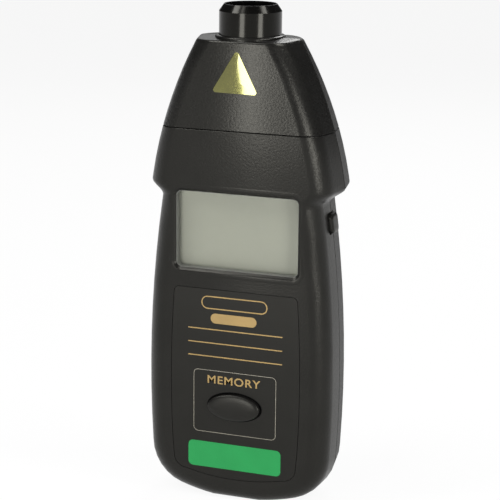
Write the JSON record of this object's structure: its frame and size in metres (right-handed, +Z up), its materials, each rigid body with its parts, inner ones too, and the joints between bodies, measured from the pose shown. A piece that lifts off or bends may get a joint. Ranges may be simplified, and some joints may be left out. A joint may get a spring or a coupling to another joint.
{
  "type": "laser tachometer",
  "caption": "Handheld laser tachometer: upright moulded case with a tapering nose and nozzle, display window, inset faceplate with an oval key, side measuring button and battery cover.",
  "frame": {"origin": "middle of the case depth on the base that the case stands on", "axes": "+Z up the case to the nozzle, +Y from the display to the back, +X to the side with the measuring button"},
  "size_m": [0.0758, 0.0396, 0.19],
  "materials": {
    "case": "fine grain",
    "plate": "satin",
    "key": "satin",
    "gloss_black": "semi-gloss",
    "clear": "polished",
    "tinted": "polished",
    "display": "satin",
    "elastomer": "matte",
    "board": "solder mask",
    "ribbon": "matte",
    "chip": "matte",
    "sleeve": "satin",
    "plunger": "matte",
    "brass": "turned",
    "tin": "plated",
    "screw": "zinc plated",
    "cell": "plain sleeve"
  },
  "bodies": {
    "case": {"front_shell": "case", "rear_shell": "case", "nose_front_shell": "case", "nose_rear_shell": "case", "faceplate": "plate", "case_screws": "screw", "nozzle": "gloss_black", "front_lens": "clear", "optics_carrier": "gloss_black", "laser_module": "brass", "photodiode": "tinted", "sensor_board": "board", "sensor_ribbon": "ribbon", "lcd_window": "clear", "lcd_glass": "display", "lcd_frame": "gloss_black", "zebra_strips": "elastomer", "main_board": "board", "microcontroller": "chip", "crystal": "tin", "filter_capacitor": "sleeve", "board_screws": "screw", "memory_switch": "chip", "measure_switch": "chip", "cell_1": "cell", "cell_2": "cell", "cell_3": "cell", "cell_4": "cell", "contact_springs": "tin", "upper_contacts": "tin", "lower_contacts": "tin"},
    "memory_key": {"memory_button": "key", "memory_plunger": "plunger"},
    "measure_key": {"measure_button": "key", "measure_plunger": "plunger"},
    "cover": {"battery_cover": "case"}
  },
  "joints": [
    {"name": "memory_press", "type": "slide", "parent": "case", "child": "memory_key", "axis": [0, 1, 0], "range_m": [0, 0.0008], "stiffness_N_per_m": 300},
    {"name": "measure_press", "type": "slide", "parent": "case", "child": "measure_key", "axis": [-1, 0, 0], "range_m": [0, 0.0008], "stiffness_N_per_m": 300},
    {"name": "cover_open", "type": "hinge", "parent": "case", "child": "cover", "pos_m": [0, 0.0185, 0.0142], "axis": [-1, 0, 0], "range_deg": [0, 60]}
  ]
}
